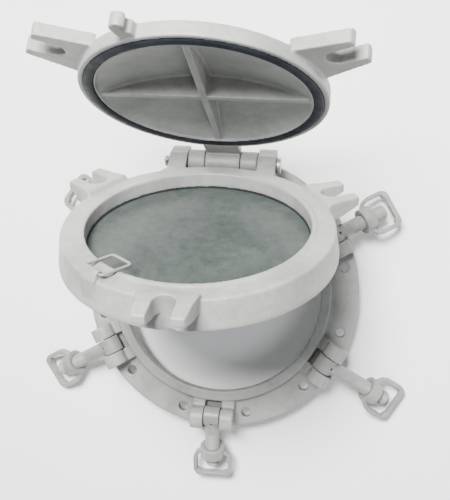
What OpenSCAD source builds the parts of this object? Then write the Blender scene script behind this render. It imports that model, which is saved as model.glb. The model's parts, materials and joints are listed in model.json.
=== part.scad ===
// Hinged side scuttle with deadlight: a bolted frame, a glass holder and a deadlight on one hinge pin,
// and five swing bolts with loop nuts that clamp the lids.
// The frame lies flat with its mounting face on Z = 0. +Z points into the cabin and +Y towards the hinge.
// Lids are drawn closed and turned open about the hinge pin. Millimetres.

/* [Frame] */
// Clear opening through the frame
opening_d = 300; // [290:1:302]
// Outer diameter of the flange
flange_d = 412; // [410:1:420]
// Thickness of the flange
flange_t = 14; // [12:1:15]
// Pitch circle of the hull bolts
bolt_circle_d = 375; // [372:1:378]
// Diameter of the hull bolt holes
bolt_hole_d = 14; // [11:0.5:15]
// Height of the sealing ring's top above the mounting face
ring_top = 26; // [24:0.5:26]

/* [Hinge] */
// Distance of the hinge pin from the centre of the opening
hinge_y = 190; // [190:0.5:192]
// Height of the hinge pin above the mounting face
hinge_z = 60; // [58:0.5:62]
// Diameter of the hinge pin
hinge_pin_d = 16; // [14:0.5:18]
// Opening angle of the glass holder
holder_open = 62; // [0:1:75]
// Opening angle of the deadlight
lid_open = 106; // [106:1:115]

/* [Glass holder] */
// Height of the glass holder's front face above the mounting face
holder_front = 65; // [63:0.5:66]
// Thickness of the glass
glass_t = 14; // [12:1:15]
// Height of the forks' tops above the mounting face
fork_top = 72; // [70:0.5:74]
// Width of the slots in both lids' forks
slot_w = 25.5; // [24:0.5:26]

/* [Deadlight] */
// Rise of the deadlight's dome inside its rim
dome_rise = 28; // [26:1:34]
// Thickness of the deadlight's plate
plate_t = 8; // [6:0.5:10]

/* [Swing bolts] */
// Diameter of the swing bolts
shank_d = 22; // [20:0.5:22]
// Angle that a hanging bolt points below the flange
bolt_droop = 22; // [20:1:26]
// Distance of the bolt pivots from the centre of the opening
pivot_r = 187; // [187:0.25:188]
// Width of a loop nut across its loop
nut_w = 60; // [54:1:64]

/* [Hidden] */

paint = "gainsboro";
rubber = "dimgray";
steel = "silver";
touch_gap = 0.3;        // between faces of different bodies that meet
run_fit = 0.08;         // radial clearance of a turning pin
opening_r = opening_d / 2;
flange_r = flange_d / 2;
edge = 1.5;             // chamfer on cast edges

// frame
throat_flare = 6;       // the opening widens this much towards the back
ring_r = 165.5;         // outer radius of the sealing ring
bolt_holes = 12;
bolt_hours = [2, 4, 6, 8, 10];
ear_in = 12.5;          // half the gap between a pair of ears
ear_out = 32;           // half the width over a pair of ears
ear_end = 207;          // radius of the ears' end faces
pivot_z = 30;
pivot_pin_r = 7;
knuckle_r = 17.8;       // radius of every hinge knuckle
tongue_x = 24.7;        // half the width of the deadlight's knuckle
frame_knuckle = [25.3, 49.7];   // the frame's knuckles, from the middle plane
holder_knuckle = [50.3, 76];    // the glass holder's knuckles
post_y = [189, 207.8];  // the posts under the frame's knuckles
pin_end = holder_knuckle[1] + 9;        // the plain end of the hinge pin, past the knuckles
pin_head = holder_knuckle[1] + 1;       // where the pin's head begins
pin_head_t = 5;
split_pin_x = -holder_knuckle[1] - 4.5;
split_pin_r = 1.9;
split_hole_r = 2;

// glass holder
holder_back = ring_top + 2;
holder_back_r = 171.5;
holder_front_r = 166.5;
well_r = 137;           // radius of the recess in front of the glass
lip_r = 142.5;          // outer radius of the lip that the deadlight's gasket meets
lip_top = holder_front + 2;
glass_r = 145.5;
glass_seal_t = 1.5;
glass_front = holder_front - 18 - glass_seal_t;
glass_back = glass_front - glass_t;
clamp_ring_t = glass_back - glass_seal_t - holder_back;
clamp_ring_r = 152;
clamp_screws = 8;
screw_r = 2.5;
screw_head_r = 3.3;
screw_circle_r = 148.5;
gasket_r = [154, 162];  // the glass holder's gasket
gasket_depth = 5;
fork_hours = [2, 6, 10];
fork_end = 207;
fork_root = 157;        // radius where the raised block of a fork begins
fork_tip_t = 11;        // thickness of a fork at its free end
fork_bottom = 49;
slot_r = slot_w / 2;
slot_centre = 180;      // radius at which a slot's round end is centred
pad_t = 2;              // height of the seat pad round a slot in the deadlight's arms
pad_r = 21;

// wire bail
bail_angle = -124;
bail_pivot_r = 161;
bail_pivot_z = lip_top + 5;
bail_wire_r = 1.75;
bail_half_w = 16;
bail_length = 42;
bail_lean = 7;          // below the front face, where it rests on the lip
bail_lug_half = 12.5;

// deadlight
rim_r = 149.5;
rim_in = 128;
rim_bottom = lip_top + 2;
rim_top = lip_top + 20;
seal_r = [131, 143];    // the deadlight's gasket
seal_depth = 4;
dome_base = rim_bottom + 3;
dome_in_r = (pow(rim_in, 2) + pow(dome_rise, 2)) / (2 * dome_rise);
dome_z = dome_base + dome_rise - dome_in_r;
rib_t = 8;
arm_hours = [4, 8];
arm_end = 208;
arm_bottom = lip_top + 13;
arm_t = 16;
catch_angle = -112;
catch_half = 9;
catch_end = 178;

// swing bolts, each drawn upright from its pivot and then swung out
eye_r = 14.5;
eye_half = 11.7;
bolt_r = shank_d / 2;
washer_r = 19;
washer_t = 3;
nut_gap = 0.1;          // between a nut and its washer
boss_r = 18.5;
boss_l = 14;
loop_l = 53;            // from the boss's face to the far end of the loop
loop_depth = 10;
loop_bar = 6.5;
holder_seat = fork_top - pivot_z;
lid_seat = arm_bottom + arm_t + pad_t - pivot_z;
bolt_swing = 90 + bolt_droop;
spring_pin_r = 2;
spring_pin_at = 8;      // from the pivot, so that it crosses the edge of the pivot pin
spring_pin_sunk = 4;
// the notch in the flange's edge that a hanging bolt rests in
notch_r = pivot_r + ((pivot_z - flange_t) * cos(bolt_droop) - eye_half - touch_gap) / sin(bolt_droop);

function hour_angle(hour) = 90 - 30 * hour;
function holds_lid(hour) = len(search(hour, arm_hours)) > 0;
function seat(hour) = holds_lid(hour) ? lid_seat : holder_seat;
// how far each nut is backed off its seat
function backed_off(hour) = [0, 0, 8, 0, 12, 0, 14, 0, 11, 0, 12][hour];
// distance from the pivot to the washer of a backed-off nut
function washer_at(hour) = seat(hour) + backed_off(hour);
function bolt_length(hour) = seat(hour) + touch_gap + washer_t + loop_l - loop_bar - 3;
// the turn at which each nut was left
function nut_turn(hour) = [0, 0, -5, 0, 0, 0, -2, 0, -7, 0, 3][hour];

$fn = 96;

// a 2D outline drawn in (Y, Z) and extruded along X between two distances from the middle plane
module along_x(from, to) {
    translate([from, 0, 0]) rotate([90, 0, 90]) linear_extrude(to - from) children();
}

// the same on both sides of the middle plane
module both_sides(span) {
    along_x(span[0], span[1]) children();
    along_x(-span[1], -span[0]) children();
}

module hinge_axis_hole(r, half) {
    translate([-half, hinge_y, hinge_z]) rotate([0, 90, 0]) cylinder(r = r, h = 2 * half);
}

module at_hour(hour) {
    rotate([0, 0, hour_angle(hour)]) children();
}

// a lid turned open about the hinge pin
module opened(angle) {
    translate([0, hinge_y, hinge_z]) rotate([-angle, 0, 0]) translate([0, -hinge_y, -hinge_z]) children();
}

// from a swing bolt's own frame, pivot at the origin and shank along +Z, to its place when hanging
module swung(hour) {
    at_hour(hour) translate([pivot_r, 0, pivot_z]) rotate([0, bolt_swing, 0]) children();
}

// an open-ended slot, as an outline
module slot_outline(r, to) {
    translate([slot_centre, 0]) circle(r = r);
    translate([slot_centre, -r]) square([to - slot_centre, 2 * r]);
}

// ---- frame ----

module frame_ring() {
    rotate_extrude() polygon([
        [opening_r + throat_flare, 0], [flange_r, 0],
        [flange_r, flange_t - edge], [flange_r - edge, flange_t],
        [ring_r + 4, flange_t], [ring_r, flange_t + 4],
        [ring_r, ring_top - edge], [ring_r - edge, ring_top],
        [opening_r + edge, ring_top], [opening_r, ring_top - edge],
        [opening_r, flange_t - 2]]);
}

module ear_outline() {
    polygon([[164, 2], [164, 22], [170, ring_top], [174.3, ring_top + 0.5], [175.2, 36], [177.5, 40],
        [181.5, 43.5], [187, 45.5], [194, 45.7], [200, 44], [204.5, 40], [ear_end, 34], [ear_end, 2]]);
}

module ears() {
    for (side = [ear_out, -ear_in])
        translate([0, side, 0]) rotate([90, 0, 0]) linear_extrude(ear_out - ear_in) ear_outline();
}

module bolt_notch() {
    translate([notch_r, -ear_in, -1]) cube([30, 2 * ear_in, 50]);
}

module main_frame() color(paint) difference() {
    union() {
        frame_ring();
        for (hour = bolt_hours) at_hour(hour) ears();
        both_sides(frame_knuckle) {
            translate([hinge_y, hinge_z]) circle(r = knuckle_r);
            translate([post_y[0], 2]) square([post_y[1] - post_y[0], hinge_z - 2]);
        }
    }
    for (k = [0 : bolt_holes - 1])
        rotate([0, 0, (k + 0.5) * 360 / bolt_holes]) translate([bolt_circle_d / 2, 0, -1])
            cylinder(d = bolt_hole_d, h = flange_t + 2);
    for (hour = bolt_hours) at_hour(hour) {
        bolt_notch();
        translate([pivot_r, ear_out + 1, pivot_z]) rotate([90, 0, 0])
            cylinder(r = pivot_pin_r + run_fit, h = 2 * ear_out + 2);
    }
    hinge_axis_hole(hinge_pin_d / 2, 60);
}

module hinge_pin() color(steel) difference() {
    translate([-pin_end, hinge_y, hinge_z]) rotate([0, 90, 0]) union() {
        cylinder(d = hinge_pin_d, h = pin_end + pin_head);
        translate([0, 0, pin_end + pin_head]) cylinder(d = hinge_pin_d + 8, h = pin_head_t);
    }
    translate([split_pin_x, hinge_y, hinge_z - 20]) cylinder(r = split_hole_r, h = 40);
}

module hinge_split_pin() color(steel) translate([split_pin_x, hinge_y, hinge_z]) {
    translate([0, 0, -13]) cylinder(r = split_pin_r, h = 25);
    translate([0, 0, 14.5]) rotate([90, 0, 0]) rotate_extrude() translate([3, 0]) circle(r = 1.2, $fn = 24);
}

// ---- glass holder ----

module holder_ring() {
    rotate_extrude() polygon([
        [well_r, holder_back], [holder_back_r, holder_back], [holder_back_r, holder_back + 5],
        [holder_front_r, holder_front - edge], [holder_front_r - edge, holder_front],
        [lip_r + 1, holder_front], [lip_r, lip_top], [well_r + 1, lip_top], [well_r, lip_top - 1]]);
}

// a raised block that tapers to its free end, seen from above and from the side
module fork() {
    intersection() {
        translate([0, 0, fork_bottom]) linear_extrude(fork_top - fork_bottom)
            polygon([[fork_root, -35], [180, -30], [fork_end - 2, -28], [fork_end, -26],
                [fork_end, 26], [fork_end - 2, 28], [180, 30], [fork_root, 35]]);
        translate([0, 40, 0]) rotate([90, 0, 0]) linear_extrude(80)
            polygon([[fork_root, holder_front - 4], [fork_root, holder_front + 1],
                [fork_root + 3, fork_top - 1], [fork_root + 5, fork_top],
                [fork_end - 1, fork_top], [fork_end, fork_top - 1],
                [fork_end, fork_top - fork_tip_t], [180, fork_bottom],
                [163, fork_bottom], [163, holder_front - 4]]);
    }
}

module fork_slot() {
    translate([0, 0, holder_back - 1]) linear_extrude(60) slot_outline(slot_r, fork_end + 5);
}

module holder_arm_outline() {
    translate([hinge_y, hinge_z]) circle(r = knuckle_r);
    polygon([[142, 36], [168, 36], [hinge_y, hinge_z - knuckle_r], [hinge_y + knuckle_r, hinge_z],
        [hinge_y + knuckle_r, hinge_z + knuckle_r - 2], [hinge_y + knuckle_r - 2, hinge_z + knuckle_r],
        [180, hinge_z + knuckle_r], [162, holder_front], [142, holder_front]]);
}

module bail_frame() {
    rotate([0, 0, bail_angle]) translate([bail_pivot_r, 0, bail_pivot_z]) children();
}

module bail_lug() {
    bail_frame() difference() {
        translate([0, bail_lug_half, 0]) rotate([90, 0, 0]) linear_extrude(2 * bail_lug_half) {
            circle(r = 4.5);
            polygon([[-8, -10], [-8, -6], [-3.2, 3.2], [3.2, 3.2], [9.5, -6], [9.5, -30], [6, -30]]);
        }
        translate([0, bail_half_w, 0]) rotate([90, 0, 0])
            cylinder(r = bail_wire_r + run_fit, h = 2 * bail_half_w);
    }
}

module glass_holder() color(paint) opened(holder_open) difference() {
    union() {
        holder_ring();
        for (hour = fork_hours) at_hour(hour) fork();
        both_sides(holder_knuckle) holder_arm_outline();
        bail_lug();
    }
    for (hour = fork_hours) at_hour(hour) fork_slot();
    translate([0, 0, holder_back - 1])
        cylinder(r = glass_r + touch_gap, h = glass_front + glass_seal_t - holder_back + 1);
    translate([0, 0, holder_back - 1]) cylinder(r = clamp_ring_r, h = clamp_ring_t + 1);
    translate([0, 0, holder_back - 1]) difference() {
        cylinder(r = gasket_r[1], h = gasket_depth + 1);
        cylinder(r = gasket_r[0], h = gasket_depth + 1);
    }
    clamp_screw_shape(screw_r);
    hinge_axis_hole(hinge_pin_d / 2 + run_fit, pin_end);
}

module flat_ring(r_in, r_out, from, to) {
    translate([0, 0, from]) difference() {
        cylinder(r = r_out, h = to - from);
        translate([0, 0, -1]) cylinder(r = r_in, h = to - from + 2);
    }
}

module glass_pane() color("slategray", 0.5) opened(holder_open)
    translate([0, 0, glass_back]) cylinder(r = glass_r, h = glass_t);

module glass_front_seal() color(rubber) opened(holder_open)
    flat_ring(well_r - 1, glass_r, glass_front, glass_front + glass_seal_t);

module glass_back_seal() color(rubber) opened(holder_open)
    flat_ring(well_r - 1, glass_r, glass_back - glass_seal_t, glass_back);

module clamp_screw_shape(r) {
    for (k = [0 : clamp_screws - 1]) rotate([0, 0, (k + 0.5) * 360 / clamp_screws])
        translate([screw_circle_r, 0, holder_back - 1]) cylinder(r = r, h = clamp_ring_t + 9, $fn = 32);
}

module glass_retaining_ring() color(paint) opened(holder_open) difference() {
    flat_ring(well_r - 2, clamp_ring_r, holder_back, holder_back + clamp_ring_t);
    clamp_screw_shape(screw_r);
}

module retaining_ring_screws() color(steel) opened(holder_open)
    for (k = [0 : clamp_screws - 1]) rotate([0, 0, (k + 0.5) * 360 / clamp_screws])
        translate([screw_circle_r, 0, holder_back]) {
            cylinder(r = screw_r, h = clamp_ring_t + 7, $fn = 32);
            translate([0, 0, -1]) difference() {
                cylinder(r = screw_head_r, h = 1, $fn = 48);
                translate([-4, -0.5, -1]) cube([8, 1, 1.5]);
            }
        }

module glass_holder_gasket() color(rubber) opened(holder_open)
    flat_ring(gasket_r[0], gasket_r[1], ring_top + touch_gap, holder_back + gasket_depth);

module wire_bail() color(steel) opened(holder_open) bail_frame() rotate([0, -bail_lean, 0]) {
    for (end = [0, -bail_length]) translate([end, bail_half_w, 0]) rotate([90, 0, 0])
        cylinder(r = bail_wire_r, h = 2 * bail_half_w, $fn = 32);
    for (side = [-1, 1]) translate([0, side * bail_half_w, 0]) {
        rotate([0, -90, 0]) cylinder(r = bail_wire_r, h = bail_length, $fn = 32);
        for (end = [0, -bail_length]) translate([end, 0, 0]) sphere(r = bail_wire_r, $fn = 32);
    }
}

// ---- deadlight ----

module dome(r) {
    translate([0, 0, dome_z]) sphere(r = r, $fn = 180);
}

module lid_arm() {
    translate([0, 0, arm_bottom]) linear_extrude(arm_t)
        polygon([[142, -36], [arm_end - 3, -25.5], [arm_end, -23],
            [arm_end, 23], [arm_end - 3, 25.5], [142, 36]]);
    translate([0, 0, arm_bottom + arm_t - 1]) linear_extrude(pad_t + 1) slot_outline(pad_r, arm_end);
}

module catch_lug() {
    rotate([0, 0, catch_angle]) translate([0, 0, rim_bottom + 1]) linear_extrude(rim_top - rim_bottom - 2)
        difference() {
            union() {
                translate([146, -catch_half]) square([catch_end - catch_half - 146, 2 * catch_half]);
                translate([catch_end - catch_half, 0]) circle(r = catch_half);
            }
            translate([164, catch_half + 1]) circle(r = 5);
        }
}

module lid_tongue_outline() {
    translate([hinge_y, hinge_z]) circle(r = knuckle_r);
    polygon([[138, rim_bottom + 1], [138, rim_top - 1], [168, rim_top - 1], [196.5, 76.5],
        [hinge_y, hinge_z], [175, rim_bottom]]);
}

module deadlight() color(paint) opened(lid_open) difference() {
    union() {
        rotate_extrude() polygon([[rim_in, rim_bottom], [rim_r - 1, rim_bottom],
            [rim_r, rim_bottom + 1], [rim_r, rim_top - edge], [rim_r - edge, rim_top],
            [rim_in + 3, rim_top], [rim_in, rim_top - 3]]);
        intersection() {
            difference() {
                dome(dome_in_r + plate_t);
                dome(dome_in_r);
            }
            translate([0, 0, dome_base]) cylinder(r = rim_in + 8, h = dome_rise + 2 * plate_t);
        }
        intersection() {
            dome(dome_in_r + plate_t / 2);
            for (turn = [0, 90]) rotate([0, 0, turn])
                translate([-rim_in - 1, -rib_t / 2, rim_bottom + 2]) cube([2 * rim_in + 2, rib_t, 80]);
        }
        for (hour = arm_hours) at_hour(hour) lid_arm();
        catch_lug();
        along_x(-tongue_x, tongue_x) lid_tongue_outline();
    }
    for (hour = arm_hours) at_hour(hour)
        translate([0, 0, arm_bottom - 1]) linear_extrude(60) slot_outline(slot_r, arm_end + 5);
    flat_ring(seal_r[0], seal_r[1], rim_bottom - 1, rim_bottom + seal_depth);
    hinge_axis_hole(hinge_pin_d / 2 + run_fit, 60);
}

module deadlight_gasket() color(rubber) opened(lid_open)
    flat_ring(seal_r[0], seal_r[1], lip_top + touch_gap, rim_bottom + seal_depth);

// ---- swing bolts ----

module swing_bolt(hour) color(paint) swung(hour) difference() {
    union() {
        translate([0, eye_half, 0]) rotate([90, 0, 0]) cylinder(r = eye_r, h = 2 * eye_half);
        translate([0, 0, 2]) cylinder(r = eye_half, h = eye_r + 3);
        cylinder(r = bolt_r, h = bolt_length(hour) - edge);
        translate([0, 0, bolt_length(hour) - edge]) cylinder(r1 = bolt_r, r2 = bolt_r - edge, h = edge);
    }
    translate([0, 20, 0]) rotate([90, 0, 0]) cylinder(r = pivot_pin_r, h = 40);
    translate([-20, 0, spring_pin_at]) rotate([0, 90, 0]) cylinder(r = spring_pin_r, h = 40, $fn = 32);
}

module pivot_pin(hour) color(steel) swung(hour) difference() {
    translate([0, ear_out - 1, 0]) rotate([90, 0, 0]) cylinder(r = pivot_pin_r, h = 2 * ear_out - 2);
    translate([-20, 0, spring_pin_at]) rotate([0, 90, 0]) cylinder(r = spring_pin_r, h = 40, $fn = 32);
}

module spring_pin(hour) color(steel) swung(hour)
    translate([-eye_r + spring_pin_sunk, 0, spring_pin_at]) rotate([0, 90, 0])
        cylinder(r = spring_pin_r, h = 2 * (eye_r - spring_pin_sunk), $fn = 32);

module washer(hour) color(paint) swung(hour) translate([0, 0, washer_at(hour)]) difference() {
    cylinder(r = washer_r, h = washer_t);
    translate([0, 0, -1]) cylinder(r = bolt_r + run_fit, h = washer_t + 2);
}

// the loop's outline across (Y) and along (X) the bolt, drawn in by inset
module loop_outline(inset) {
    w = nut_w / 2 - inset;
    far = loop_l - inset;
    near = 2 + 0.6 * inset;
    polygon([[near, -17 + inset], [11, -27 + inset], [20, -w], [43, -w],
        [far - 2.5, -w + 4], [far, -w + 8], [far, w - 8], [far - 2.5, w - 4],
        [43, w], [20, w], [11, 27 - inset], [near, 17 - inset]]);
}

module loop_nut(hour) color(paint) swung(hour)
    translate([0, 0, washer_at(hour) + washer_t + nut_gap]) rotate([0, 0, nut_turn(hour)]) difference() {
        union() {
            cylinder(r = boss_r, h = boss_l);
            translate([-loop_depth / 2, 0, 0]) rotate([0, -90, 180])
                linear_extrude(loop_depth) difference() {
                    loop_outline(0);
                    loop_outline(loop_bar);
                }
        }
        translate([0, 0, -1]) cylinder(r = bolt_r + run_fit, h = boss_l + 2);
    }

main_frame();
hinge_pin();
hinge_split_pin();
glass_holder();
glass_pane();
glass_front_seal();
glass_back_seal();
glass_retaining_ring();
retaining_ring_screws();
glass_holder_gasket();
wire_bail();
deadlight();
deadlight_gasket();
swing_bolt(2);  // swing_bolt_2
swing_bolt(4);  // swing_bolt_4
swing_bolt(6);  // swing_bolt_6
swing_bolt(8);  // swing_bolt_8
swing_bolt(10);  // swing_bolt_10
pivot_pin(2);  // pivot_pin_2
pivot_pin(4);  // pivot_pin_4
pivot_pin(6);  // pivot_pin_6
pivot_pin(8);  // pivot_pin_8
pivot_pin(10);  // pivot_pin_10
spring_pin(2);  // spring_pin_2
spring_pin(4);  // spring_pin_4
spring_pin(6);  // spring_pin_6
spring_pin(8);  // spring_pin_8
spring_pin(10);  // spring_pin_10
washer(2);  // washer_2
washer(4);  // washer_4
washer(6);  // washer_6
washer(8);  // washer_8
washer(10);  // washer_10
loop_nut(2);  // loop_nut_2
loop_nut(4);  // loop_nut_4
loop_nut(6);  // loop_nut_6
loop_nut(8);  // loop_nut_8
loop_nut(10);  // loop_nut_10
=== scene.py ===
import json
import math

import bpy
import numpy as np
from mathutils import Matrix, Vector


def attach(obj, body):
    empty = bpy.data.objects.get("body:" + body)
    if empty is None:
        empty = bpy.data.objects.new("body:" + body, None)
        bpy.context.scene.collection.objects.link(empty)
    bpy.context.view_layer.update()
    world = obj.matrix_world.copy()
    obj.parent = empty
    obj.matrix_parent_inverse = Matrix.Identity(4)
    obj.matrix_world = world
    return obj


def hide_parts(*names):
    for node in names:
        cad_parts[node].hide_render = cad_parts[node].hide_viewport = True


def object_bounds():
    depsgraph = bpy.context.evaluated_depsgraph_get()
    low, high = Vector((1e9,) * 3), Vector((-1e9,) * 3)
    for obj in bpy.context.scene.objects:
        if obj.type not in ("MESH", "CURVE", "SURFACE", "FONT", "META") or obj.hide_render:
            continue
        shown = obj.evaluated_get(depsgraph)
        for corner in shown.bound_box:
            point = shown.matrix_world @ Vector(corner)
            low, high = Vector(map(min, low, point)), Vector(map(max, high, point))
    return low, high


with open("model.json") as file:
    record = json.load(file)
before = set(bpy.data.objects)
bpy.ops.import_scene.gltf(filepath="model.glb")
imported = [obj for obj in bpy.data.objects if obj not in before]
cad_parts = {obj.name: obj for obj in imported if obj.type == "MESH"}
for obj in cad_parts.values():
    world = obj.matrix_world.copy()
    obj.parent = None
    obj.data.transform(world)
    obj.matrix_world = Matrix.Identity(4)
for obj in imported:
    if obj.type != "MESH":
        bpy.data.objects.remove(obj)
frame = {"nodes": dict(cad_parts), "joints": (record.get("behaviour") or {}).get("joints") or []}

CAD_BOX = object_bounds()
NODES = frame["nodes"]
JOINTS = {j["name"]: j for j in frame["joints"]}
HOURS = (2, 4, 6, 8, 10)

# ---- sizes, in metres ----

CAST_VOXEL = 0.0013      # grain of the rounded castings
FITTING_VOXEL = 0.0008   # grain of the bolts and nuts
SHANK_R = 0.011          # swing bolt
THREAD_DEPTH = 0.0017
THREAD_PITCH = 0.0030
THREAD_LENGTH = 0.063
THREAD_FLANK = 1.35      # above 1, a flat crest is left between the grooves
THREAD_CHAMFER = 0.0016
CORE_R = SHANK_R - 1.4 * THREAD_DEPTH   # the shank inside the thread
CORE_INSET = 0.001       # of the core's end behind the thread's end
DEADLIGHT_GASKET = (0.131, 0.0022)      # inner radius and how far the face is rounded
HOLDER_GASKET = (0.154, 0.0016)
GLASS_EDGE = 0.0012      # ground chamfer
BAIL_BEND = 0.0045       # inner corner, on the wire's centreline
FLOOR_GAP = 0.004        # between the floor and the lowest nut
FLOOR_HALF = 4.0

# the camera looks down at the open scuttle, with the hinge at the top
CAMERA_AT = Vector((0.1665, 0.1194, 1.1046))
CAMERA_AIM = Vector((0.0, 0.062, 0.0))
CAMERA_ROLL = math.radians(3.4)
CAMERA_LENS = 52.7
CAMERA_SENSOR = 36.0


# ---- meshes ----

def new_piece(name, mesh):
    """An object for a finished mesh, smooth shaded."""
    mesh.name = name
    piece = bpy.data.objects.new(name, mesh)
    bpy.context.scene.collection.objects.link(piece)
    mesh.shade_smooth()
    return piece


def mesh_from(points, faces):
    """A mesh of the given points and faces."""
    mesh = bpy.data.meshes.new("mesh")
    mesh.from_pydata([tuple(p) for p in points], [], faces)
    mesh.update()
    return mesh


def baked(piece):
    """The piece's mesh with its modifiers applied and removed."""
    bpy.context.view_layer.update()
    shown = piece.evaluated_get(bpy.context.evaluated_depsgraph_get())
    mesh = bpy.data.meshes.new_from_object(shown)
    old = piece.data
    piece.modifiers.clear()
    piece.data = mesh
    bpy.data.meshes.remove(old)
    mesh.shade_smooth()
    return piece


def welded_copy(node, name):
    """A copy of a CAD node's mesh with its seams closed, as a new object."""
    mesh = NODES[node].data.copy()
    mesh.materials.clear()
    piece = new_piece(name, mesh)
    weld = piece.modifiers.new("weld", "WELD")
    weld.merge_threshold = 1e-6
    return baked(piece)


def rounded(node, voxel, passes):
    """A CAD node as a casting: the same shape with its edges and inner corners rounded."""
    piece = welded_copy(node, node + "_cast")
    remesh = piece.modifiers.new("remesh", "REMESH")
    remesh.mode = "VOXEL"
    remesh.voxel_size = voxel
    smooth = piece.modifiers.new("smooth", "SMOOTH")
    smooth.factor = 0.5
    smooth.iterations = passes
    return baked(piece)


def bevelled(node, width):
    """A CAD node with a small machined chamfer on its sharp edges."""
    piece = welded_copy(node, node + "_turned")
    bevel = piece.modifiers.new("bevel", "BEVEL")
    bevel.width = width
    bevel.segments = 2
    bevel.limit_method = "ANGLE"
    bevel.angle_limit = math.radians(40)
    bevel.use_clamp_overlap = True
    baked(piece)
    piece.data.set_sharp_from_angle(angle=math.radians(35))
    return piece


def lathe(profile, steps=192, capped=False):
    """A profile of (radius, height) turned about the Z axis; an open one is capped at both ends."""
    points = []
    for k in range(steps):
        turn = 2 * math.pi * k / steps
        points += [(r * math.cos(turn), r * math.sin(turn), z) for r, z in profile]
    count = len(profile)
    faces = []
    for k in range(steps):
        here, there = k * count, (k + 1) % steps * count
        for i in range(count - 1 if capped else count):
            j = (i + 1) % count
            faces.append((here + i, there + i, there + j, here + j))
    if capped:
        faces.append(tuple(reversed(range(0, steps * count, count))))
        faces.append(tuple(range(count - 1, steps * count, count)))
    return mesh_from(points, faces)


def tube(path, radius, sides=16):
    """A closed loop of tube along a flat path of points."""
    path = [Vector(p) for p in path]
    points, faces, count = [], [], len(path)
    third, two_thirds = path[count // 3], path[2 * count // 3]
    normal = (third - path[0]).cross(two_thirds - path[0]).normalized()
    for k, at in enumerate(path):
        along = (path[(k + 1) % count] - path[k - 1]).normalized()
        side = along.cross(normal)
        for s in range(sides):
            turn = 2 * math.pi * s / sides
            points.append(at + radius * (math.cos(turn) * side + math.sin(turn) * normal))
    for k in range(count):
        here, there = k * sides, (k + 1) % count * sides
        for s in range(sides):
            t = (s + 1) % sides
            faces.append((here + s, here + t, there + t, there + s))
    return mesh_from(points, faces)


def opened(angle):
    """The turn of a lid about the hinge pin, from closed, in degrees."""
    at = Vector(JOINTS["glass_holder_hinge"]["pos_m"])
    turn = Matrix.Rotation(-math.radians(angle), 4, "X")
    return Matrix.Translation(at) @ turn @ Matrix.Translation(-at)


HOLDER_OPEN = -JOINTS["glass_holder_hinge"]["range_deg"][0]
LID_OPEN = HOLDER_OPEN - JOINTS["deadlight_hinge"]["range_deg"][0]


def closed_box(node, angle):
    """A lid node's lowest and highest corners with the lid closed."""
    back = opened(angle).inverted()
    corners = np.array([tuple(back @ v.co) for v in NODES[node].data.vertices])
    return corners.min(0), corners.max(0)


def ring_in_lid(node, angle, name, inner, crown):
    """A rubber ring with a rounded lower face, as wide and thick as its node, in an opened lid."""
    low, high = closed_box(node, angle)
    outer, bottom, top = high[0], low[2], high[2]
    half = (outer - inner) / 2
    count = 10
    face = []
    for k in range(count + 1):
        turn = math.pi * k / count
        face.append((inner + half - half * math.cos(turn), bottom + crown * (1 - math.sin(turn))))
    mesh = lathe(face + [(outer, top), (inner, top)])
    mesh.transform(opened(angle))
    piece = new_piece(name, mesh)
    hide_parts(node)
    return piece


# ---- materials ----

class Nodes:
    """A few short words for building a node tree."""

    def __init__(self, name):
        self.material = bpy.data.materials.new(name)
        self.material.use_nodes = True
        self.tree = self.material.node_tree
        self.shader = self.tree.nodes["Principled BSDF"]
        self.place = self.tree.nodes.new("ShaderNodeTexCoord").outputs["Object"]

    def node(self, kind, **settings):
        made = self.tree.nodes.new(kind)
        for key, value in settings.items():
            setattr(made, key, value)
        return made

    def link(self, output, socket):
        self.tree.links.new(output, socket)

    def noise(self, scale, detail, rough, distortion=0.0):
        made = self.node("ShaderNodeTexNoise")
        made.inputs["Scale"].default_value = scale
        made.inputs["Detail"].default_value = detail
        made.inputs["Roughness"].default_value = rough
        made.inputs["Distortion"].default_value = distortion
        self.link(self.place, made.inputs["Vector"])
        return made.outputs["Fac"]

    def ramp(self, value, stops):
        made = self.node("ShaderNodeValToRGB")
        elements = made.color_ramp.elements
        while len(elements) < len(stops):
            elements.new(0.5)
        for element, (at, colour) in zip(elements, stops):
            rgb = colour if hasattr(colour, "__len__") else (colour, colour, colour)
            element.position = at
            element.color = (*rgb, 1)
        self.link(value, made.inputs["Fac"])
        return made.outputs["Color"]

    def mix(self, factor, a, b, kind="MIX"):
        made = self.node("ShaderNodeMix", data_type="RGBA", blend_type=kind)
        for socket, value in ((made.inputs[0], factor), (made.inputs[6], a), (made.inputs[7], b)):
            if isinstance(value, bpy.types.NodeSocket):
                self.link(value, socket)
            elif hasattr(value, "__len__"):
                socket.default_value = (*value, 1)
            else:
                socket.default_value = value
        return made.outputs[2]

    def math(self, what, a, b):
        made = self.node("ShaderNodeMath", operation=what)
        for socket, value in ((made.inputs[0], a), (made.inputs[1], b)):
            if isinstance(value, bpy.types.NodeSocket):
                self.link(value, socket)
            else:
                socket.default_value = value
        return made.outputs[0]

    def bump(self, height, strength, distance, under=None):
        made = self.node("ShaderNodeBump")
        made.inputs["Strength"].default_value = strength
        made.inputs["Distance"].default_value = distance
        self.link(height, made.inputs["Height"])
        if under is not None:
            self.link(under, made.inputs["Normal"])
        return made.outputs["Normal"]

    def crevices(self, reach):
        made = self.node("ShaderNodeAmbientOcclusion", samples=6)
        made.inputs["Distance"].default_value = reach
        return made.outputs["AO"]

    def pointiness(self):
        return self.node("ShaderNodeNewGeometry").outputs["Pointiness"]


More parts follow.
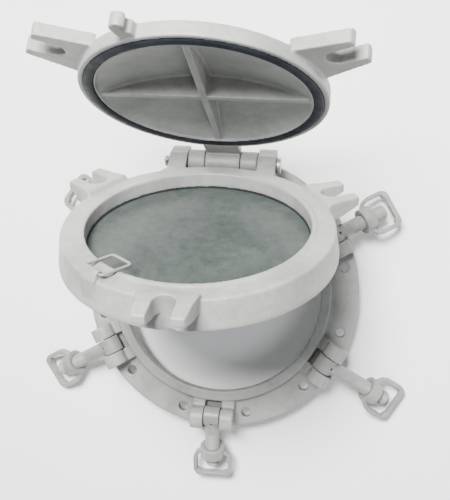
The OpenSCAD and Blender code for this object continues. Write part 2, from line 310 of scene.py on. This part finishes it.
def enamel(name, light, dark, roughness, reach=0.014):
    """Mottled grey enamel, chipped along edges, with painted shade and some grime darkening its
    corners as far out as reach.
    """
    n = Nodes(name)
    mottle = n.ramp(n.noise(14, 7, 0.62), [(0.30, dark), (0.62, light)])
    spots = n.ramp(n.noise(120, 5, 0.65), [(0.34, 0.90), (0.52, 1.0)])
    colour = n.mix(1.0, mottle, spots, "MULTIPLY")
    # painted shade: ambient occlusion darkens corners and crevices towards a brown grey, broken up
    # by noise, with some grime
    corner_shade_and_grime = n.ramp(n.crevices(reach), [(0.25, 1.0), (0.85, 0.0)])
    corner_shade_and_grime = n.math("MULTIPLY", corner_shade_and_grime, n.ramp(n.noise(38, 5, 0.7), [(0.30, 0.45), (0.65, 1.0)]))
    colour = n.mix(corner_shade_and_grime, colour, (0.15, 0.145, 0.13))
    chips = n.math("MULTIPLY", n.ramp(n.pointiness(), [(0.53, 0.0), (0.60, 1.0)]),
                   n.ramp(n.noise(210, 4, 0.7), [(0.52, 0.0), (0.60, 1.0)]))
    colour = n.mix(chips, colour, (0.24, 0.19, 0.15))
    n.link(colour, n.shader.inputs["Base Color"])
    shine = n.ramp(n.noise(30, 6, 0.7), [(0.3, roughness - 0.09), (0.7, roughness + 0.13)])
    n.link(shine, n.shader.inputs["Roughness"])
    lumps = n.bump(n.noise(55, 3, 0.5), 0.22, 0.004)
    peel = n.bump(n.noise(520, 4, 0.6), 0.16, 0.0011, lumps)
    n.link(peel, n.shader.inputs["Normal"])
    n.shader.inputs["Specular IOR Level"].default_value = 0.45
    return n.material


def plated_steel(name):
    """Zinc-plated steel with fine streaks and dull patches."""
    n = Nodes(name)
    colour = n.ramp(n.noise(60, 6, 0.7), [(0.3, (0.36, 0.36, 0.35)), (0.7, (0.60, 0.60, 0.59))])
    n.link(colour, n.shader.inputs["Base Color"])
    n.link(n.ramp(n.noise(140, 5, 0.7), [(0.3, 0.32), (0.7, 0.52)]), n.shader.inputs["Roughness"])
    n.link(n.bump(n.noise(700, 3, 0.6), 0.15, 0.0006), n.shader.inputs["Normal"])
    n.shader.inputs["Metallic"].default_value = 0.85
    return n.material


def oxidised_steel(name):
    """Spring steel gone nearly black with oil and rust."""
    n = Nodes(name)
    oil, rust = (0.010, 0.009, 0.008), (0.045, 0.032, 0.022)
    colour = n.ramp(n.noise(180, 6, 0.7), [(0.3, oil), (0.7, rust)])
    n.link(colour, n.shader.inputs["Base Color"])
    n.link(n.ramp(n.noise(260, 5, 0.7), [(0.3, 0.5), (0.7, 0.8)]), n.shader.inputs["Roughness"])
    n.link(n.bump(n.noise(900, 3, 0.6), 0.2, 0.0004), n.shader.inputs["Normal"])
    return n.material


def black_rubber(name):
    """Bluish black gasket rubber with a dusty bloom."""
    n = Nodes(name)
    clean, bloom = (0.008, 0.010, 0.015), (0.028, 0.032, 0.042)
    colour = n.ramp(n.noise(25, 6, 0.7), [(0.35, clean), (0.75, bloom)])
    n.link(colour, n.shader.inputs["Base Color"])
    n.link(n.ramp(n.noise(80, 5, 0.7), [(0.3, 0.5), (0.7, 0.72)]), n.shader.inputs["Roughness"])
    n.link(n.bump(n.noise(900, 4, 0.6), 0.25, 0.0006), n.shader.inputs["Normal"])
    n.shader.inputs["Specular IOR Level"].default_value = 0.2
    return n.material


def dusty_glass(name):
    """Thick green-grey glass under a film of dust."""
    n = Nodes(name)
    film = n.noise(26, 9, 0.72)
    smears = n.noise(90, 6, 0.7, 0.3)
    flecks = n.ramp(n.noise(420, 4, 0.7), [(0.60, 0.0), (0.72, 1.0)])
    dust = n.mix(0.45, n.ramp(film, [(0.3, 0.0), (0.75, 1.0)]),
                 n.ramp(smears, [(0.35, 0.0), (0.8, 1.0)]))
    colour = n.mix(dust, (0.030, 0.040, 0.037), (0.092, 0.106, 0.099))
    colour = n.mix(n.math("MULTIPLY", flecks, 0.35), colour, (0.20, 0.21, 0.19))
    n.link(colour, n.shader.inputs["Base Color"])
    n.link(n.ramp(film, [(0.3, 0.34), (0.75, 0.50)]), n.shader.inputs["Roughness"])
    n.link(n.bump(n.noise(300, 4, 0.6), 0.05, 0.0004), n.shader.inputs["Normal"])
    n.shader.inputs["Specular IOR Level"].default_value = 0.22
    n.shader.inputs["Transmission Weight"].default_value = 0.12
    n.shader.inputs["IOR"].default_value = 1.5
    return n.material


def pale_floor(name):
    """Matt white studio floor."""
    n = Nodes(name)
    n.link(n.ramp(n.noise(3, 3, 0.5), [(0.3, 0.93), (0.7, 0.95)]), n.shader.inputs["Base Color"])
    n.shader.inputs["Roughness"].default_value = 0.8
    return n.material


CASTING = enamel("casting_enamel", (0.335, 0.34, 0.33), (0.22, 0.225, 0.21), 0.42)
FITTING = enamel("fitting_enamel", (0.28, 0.285, 0.28), (0.18, 0.185, 0.175), 0.38)
# the short reach puts the enamel's painted corner shade into the thread's grooves
THREADED = enamel("threaded_enamel", (0.34, 0.345, 0.34), (0.24, 0.245, 0.235), 0.38, reach=0.0035)
STEEL = plated_steel("plated_steel")
SPRING_STEEL = oxidised_steel("oxidised_steel")
RUBBER = black_rubber("black_rubber")
GLASS = dusty_glass("dusty_glass")


def finish_piece(piece, body, material):
    """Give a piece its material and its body."""
    piece.data.materials.clear()
    piece.data.materials.append(material)
    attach(piece, body)


# ---- pieces ----

def make_castings():
    """The frame and the two lids."""
    castings = (("main_frame", "frame"),
                ("glass_holder", "glass_holder"),
                ("deadlight", "deadlight"))
    for node, body in castings:
        piece = rounded(node, CAST_VOXEL, 4)
        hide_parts(node)
        finish_piece(piece, body, CASTING)


def bolt_frame(hour):
    """The matrix from a swing bolt's own frame, with its shank along +Z, to the model at rest."""
    along = Vector(JOINTS[f"loop_nut_{hour}_spin"]["axis"])
    across = Vector(JOINTS[f"swing_bolt_{hour}_pivot"]["axis"])
    at = Vector(JOINTS[f"swing_bolt_{hour}_pivot"]["pos_m"])
    turn = Matrix((across.cross(along), across, along)).transposed()
    return Matrix.Translation(at) @ turn.to_4x4()


def thread(start, end):
    """A helical thread along +Z, closed at both ends, with a run-out first and a chamfer last."""
    around, rows = 48, max(8, round((end - start) / THREAD_PITCH * 8))
    points, faces = [], []
    for row in range(rows + 1):
        z = start + (end - start) * row / rows
        fade = min(1.0, (z - start) / (1.5 * THREAD_PITCH))
        chamfer = max(0.0, z - (end - THREAD_CHAMFER))
        for s in range(around):
            phase = (z / THREAD_PITCH - s / around) % 1.0
            groove = THREAD_DEPTH * (1 - min(1.0, abs(2 * phase - 1) * THREAD_FLANK)) * fade
            r = min(SHANK_R - groove, SHANK_R - chamfer)
            turn = 2 * math.pi * s / around
            points.append((r * math.cos(turn), r * math.sin(turn), z))
    for row in range(rows):
        for s in range(around):
            a, b = row * around + s, row * around + (s + 1) % around
            faces.append((a, b, b + around, a + around))
    faces.append(tuple(reversed(range(around))))
    faces.append(tuple(rows * around + s for s in range(around)))
    return mesh_from(points, faces)


def make_swing_bolt(hour):
    """A bolt's eye and shank, with the shank's end drawn in to be the core of its thread."""
    node = f"swing_bolt_{hour}"
    frame_of_bolt = bolt_frame(hour)
    piece = rounded(node, FITTING_VOXEL, 4)
    back = frame_of_bolt.inverted()
    length = max((back @ v.co).z for v in NODES[node].data.vertices)
    start = length - THREAD_LENGTH
    shrink = CORE_R / SHANK_R
    for vertex in piece.data.vertices:
        at = back @ vertex.co
        if at.z > start + THREAD_PITCH:
            vertex.co = frame_of_bolt @ Vector((at.x * shrink, at.y * shrink, at.z - CORE_INSET))
    mesh = thread(start, length)
    mesh.transform(frame_of_bolt)
    threaded = new_piece(node + "_thread", mesh)
    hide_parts(node)
    finish_piece(piece, node, FITTING)
    finish_piece(threaded, node, THREADED)


def make_loop_nut(hour):
    """A nut with its loop, as one rounded casting."""
    piece = rounded(f"loop_nut_{hour}", FITTING_VOXEL, 6)
    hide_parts(f"loop_nut_{hour}")
    finish_piece(piece, f"loop_nut_{hour}", FITTING)


def make_small_parts():
    """Pins, screws, washers and the clamp ring, each with its chamfer's width."""
    plan = [("hinge_pin", "frame", STEEL, "bare_steel", 0.0008),
            ("hinge_split_pin", "frame", STEEL, "bare_steel", 0.0002),
            ("glass_retaining_ring", "glass_holder", CASTING, "painted_casting", 0.0006),
            ("retaining_ring_screws", "glass_holder", STEEL, "bare_steel", 0.0002)]
    for hour in HOURS:
        plan += [(f"pivot_pin_{hour}", f"swing_bolt_{hour}", STEEL, "bare_steel", 0.0008),
                 (f"spring_pin_{hour}", f"swing_bolt_{hour}", SPRING_STEEL, "bare_steel", 0.0003),
                 (f"washer_{hour}", f"washer_{hour}", FITTING, "painted_fittings", 0.0007)]
    for node, body, material, slot, width in plan:
        piece = bevelled(node, width)
        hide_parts(node)
        finish_piece(piece, body, material)


def make_soft_rings():
    """The two gaskets and the glass's two seals."""
    gasket = ring_in_lid("deadlight_gasket", LID_OPEN, "deadlight_gasket_ring", *DEADLIGHT_GASKET)
    finish_piece(gasket, "deadlight", RUBBER)
    gasket = ring_in_lid("glass_holder_gasket", HOLDER_OPEN,
                         "glass_holder_gasket_ring", *HOLDER_GASKET)
    finish_piece(gasket, "glass_holder", RUBBER)
    for node in ("glass_front_seal", "glass_back_seal"):
        piece = bevelled(node, 0.0003)
        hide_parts(node)
        finish_piece(piece, "glass_holder", RUBBER)


def make_glass():
    """The pane, with a ground edge and its flats held flat by a ring of points inside it."""
    low, high = closed_box("glass_pane", HOLDER_OPEN)
    r, bottom, top, edge = high[0], low[2], high[2], GLASS_EDGE
    flat = r - 3 * edge
    half = [(flat, bottom), (r - edge, bottom), (r, bottom + edge)]
    profile = half + [(x, top + bottom - z) for x, z in reversed(half)]
    mesh = lathe(profile, capped=True)
    mesh.transform(opened(HOLDER_OPEN))
    mesh.set_sharp_from_angle(angle=math.radians(30))
    piece = new_piece("glass_disc", mesh)
    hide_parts("glass_pane")
    finish_piece(piece, "glass_holder", GLASS)


def make_bail():
    """The bail as one bent wire with rounded corners, on the same centreline as its CAD node."""
    joint = JOINTS["bail_hinge"]
    across = Vector(joint["axis"]).normalized()
    at = Vector(joint["pos_m"])
    offsets = [v.co - at for v in NODES["wire_bail"].data.vertices]
    centre = sum(offsets, Vector()) / len(offsets)
    along = (centre - across * centre.dot(across)).normalized()
    wire = -min(o.dot(along) for o in offsets)
    half = max(o.dot(across) for o in offsets) - wire
    length = max(o.dot(along) for o in offsets) - wire
    bend, steps = BAIL_BEND, 6
    corners = ((0, half, 0), (length, half, 90), (length, -half, 180), (0, -half, 270))
    path = []
    for corner_u, corner_v, start in corners:
        u = corner_u + (bend if corner_u == 0 else -bend)
        v = corner_v + (-bend if corner_v > 0 else bend)
        for k in range(steps + 1):
            turn = math.radians(start + 90 * k / steps)
            out = along * (u - bend * math.cos(turn))
            path.append(at + out + across * (v + bend * math.sin(turn)))
    piece = new_piece("wire_bail_bent", tube(path, wire * 0.98))
    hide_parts("wire_bail")
    finish_piece(piece, "wire_bail", FITTING)


make_castings()
for hour in HOURS:
    make_swing_bolt(hour)
    make_loop_nut(hour)
make_small_parts()
make_soft_rings()
make_glass()
make_bail()


# ---- floor, light and camera ----

def make_floor():
    """A wide floor just below the lowest nut."""
    z, half = CAD_BOX[0][2] - FLOOR_GAP, FLOOR_HALF
    corners = [(-half, -half, z), (half, -half, z), (half, half, z), (-half, half, z)]
    floor = new_piece("floor", mesh_from(corners, [(0, 1, 2, 3)]))
    floor.data.materials.append(pale_floor("pale_floor"))


def area_light(name, at, aim, size, watts, tint):
    """A round soft light at one place, aimed at another."""
    light = bpy.data.lights.new(name, "AREA")
    light.shape = "DISK"
    light.size = size
    light.energy = watts
    light.color = tint
    lamp = bpy.data.objects.new(name, light)
    lamp.location = at
    lamp.rotation_euler = (Vector(aim) - Vector(at)).to_track_quat("-Z", "Y").to_euler()
    bpy.context.scene.collection.objects.link(lamp)


def make_lights():
    """A soft key high on the hinge side, a weak fill from the front and a pale sky."""
    area_light("key", (-0.25, 0.95, 2.15), (0, 0.0, 0.1), 0.9, 225, (1.0, 0.99, 0.97))
    area_light("fill", (0.9, -1.0, 1.5), (0.1, -0.1, 0.05), 1.0, 14, (0.96, 0.98, 1.0))
    world = bpy.data.worlds.new("studio")
    world.use_nodes = True
    sky = world.node_tree.nodes["Background"]
    sky.inputs["Color"].default_value = (0.95, 0.97, 1.0, 1)
    sky.inputs["Strength"].default_value = 0.28
    bpy.context.scene.world = world


def make_camera():
    """The camera, aimed and then rolled a little."""
    camera = bpy.data.cameras.new("camera")
    camera.lens = CAMERA_LENS
    camera.sensor_width = CAMERA_SENSOR
    eye = bpy.data.objects.new("camera", camera)
    back = (CAMERA_AT - CAMERA_AIM).normalized()
    up = Vector((-math.sin(CAMERA_ROLL), math.cos(CAMERA_ROLL), 0))
    right = up.cross(back).normalized()
    turn = Matrix((right, back.cross(right), back)).transposed().to_4x4()
    eye.matrix_world = Matrix.Translation(CAMERA_AT) @ turn
    bpy.context.scene.collection.objects.link(eye)
    bpy.context.scene.camera = eye


make_floor()
make_lights()
make_camera()
